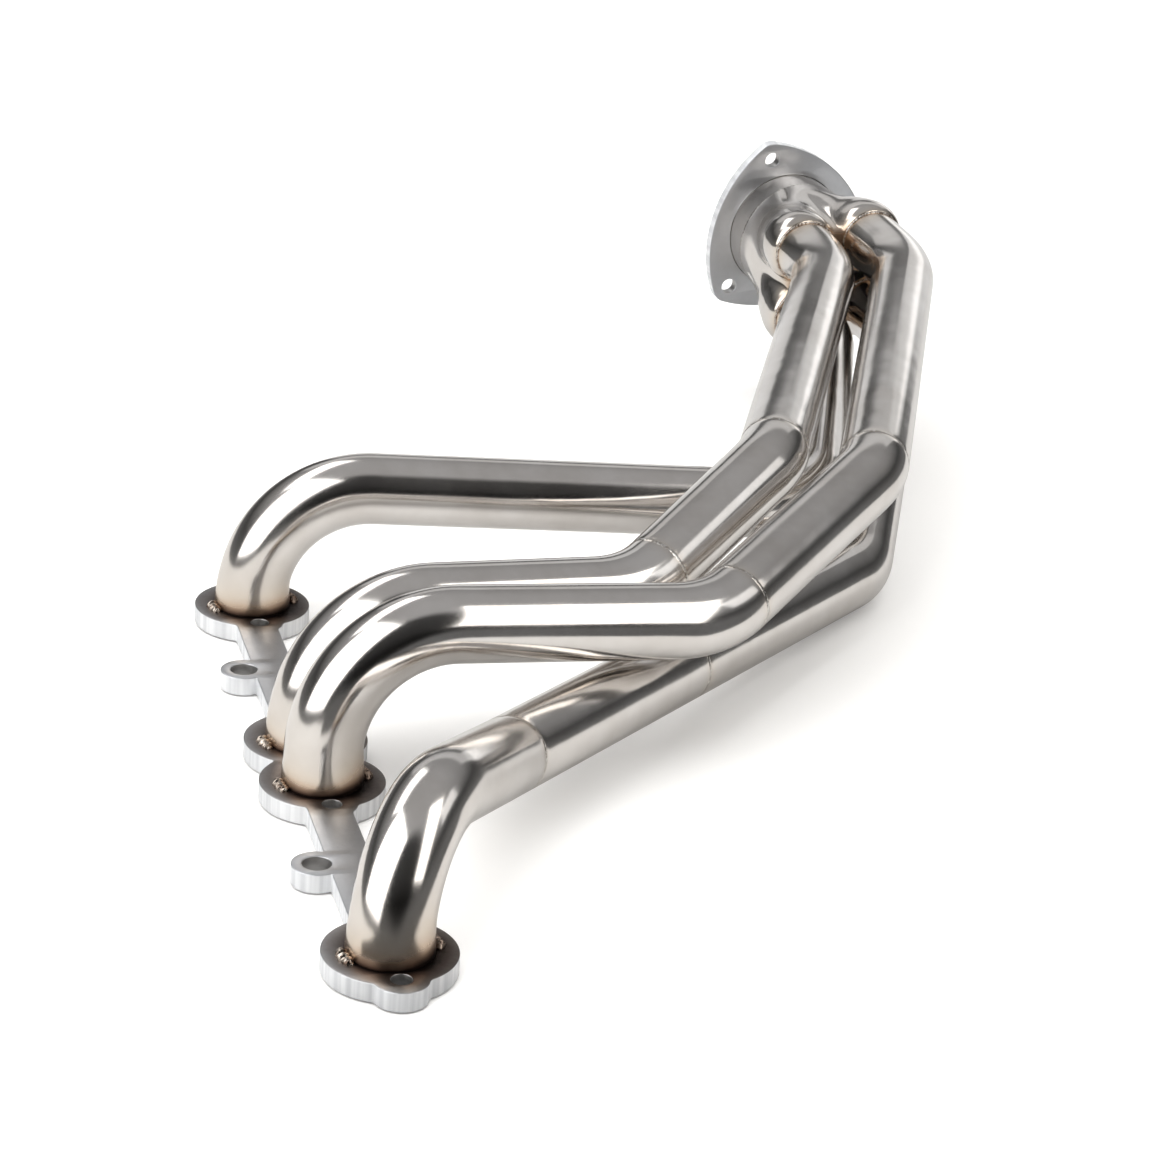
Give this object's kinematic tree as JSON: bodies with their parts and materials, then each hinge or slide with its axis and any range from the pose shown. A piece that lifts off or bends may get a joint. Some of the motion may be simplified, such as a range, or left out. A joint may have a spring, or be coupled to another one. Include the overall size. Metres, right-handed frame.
{
  "type": "tubular exhaust header",
  "caption": "Tubular exhaust manifold: four bent tubes rise from a flat head flange, sweep sideways and run back into a lobed collector with a rounded triangular outlet flange.",
  "frame": {"origin": "on the flat head-side face of the head flange, midway between the two middle ports", "axes": "+X away from the flange along the tube runs, +Y along the port line towards the outlet, +Z out of the cylinder head along the port risers"},
  "size_m": [0.4926, 0.7926, 0.1631],
  "materials": {
    "polished_tube": "mirror polished stainless steel, straw tinted near welds",
    "satin_plate": "satin laser-cut steel plate with paler cut edges",
    "weld_bead": "rippled weld metal with brown heat tint"
  },
  "bodies": {
    "root": {"head_flange": "satin_plate", "port_tube_1": "polished_tube", "merge_tube_1": "polished_tube", "port_tube_2": "polished_tube", "mid_tube_2": "polished_tube", "merge_tube_2": "polished_tube", "port_tube_3": "polished_tube", "mid_tube_3": "polished_tube", "merge_tube_3": "polished_tube", "port_tube_4": "polished_tube", "mid_tube_4": "polished_tube", "merge_tube_4": "polished_tube", "butt_weld_1": "weld_bead", "butt_weld_2a": "weld_bead", "butt_weld_2b": "weld_bead", "butt_weld_3a": "weld_bead", "butt_weld_3b": "weld_bead", "butt_weld_4a": "weld_bead", "butt_weld_4b": "weld_bead", "port_tacks_1": "weld_bead", "port_tacks_2": "weld_bead", "port_tacks_3": "weld_bead", "port_tacks_4": "weld_bead", "port_seal_1": "weld_bead", "port_seal_2": "weld_bead", "port_seal_3": "weld_bead", "port_seal_4": "weld_bead", "mouth_weld_1": "weld_bead", "mouth_weld_2": "weld_bead", "mouth_weld_3": "weld_bead", "mouth_weld_4": "weld_bead", "collector_body": "polished_tube", "collector_plug": "polished_tube", "collector_neck": "polished_tube", "neck_weld": "weld_bead", "collector_flange": "satin_plate", "flange_weld": "weld_bead"}
  },
  "joints": []
}
